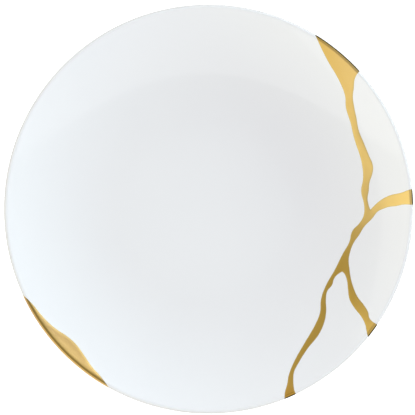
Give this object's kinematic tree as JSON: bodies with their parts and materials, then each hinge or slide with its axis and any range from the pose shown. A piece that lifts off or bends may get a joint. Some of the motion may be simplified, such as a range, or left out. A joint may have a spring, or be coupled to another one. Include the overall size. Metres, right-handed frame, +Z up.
{
  "type": "kintsugi plate",
  "caption": "Round white coupe dinner plate with a low curved wall and a foot ring, its broken rim pieces joined and a rim chip filled with gold lacquer.",
  "frame": {"origin": "on the table, under the centre of the plate", "axes": "+Z up out of the dish; seen from above, +X to the right, where the cracks run, and +Y to the top"},
  "size_m": [0.27, 0.27, 0.0272],
  "materials": {
    "porcelain": "clear glossy glaze over white porcelain",
    "gold_lacquer": "gold powder on lacquer, burnished, with a soft uneven shine"
  },
  "bodies": {
    "root": {"main_shard": "porcelain", "upper_shard": "porcelain", "middle_shard": "porcelain", "lower_shard": "porcelain", "gold_seam": "gold_lacquer", "gold_chip_fill": "gold_lacquer"}
  },
  "joints": []
}
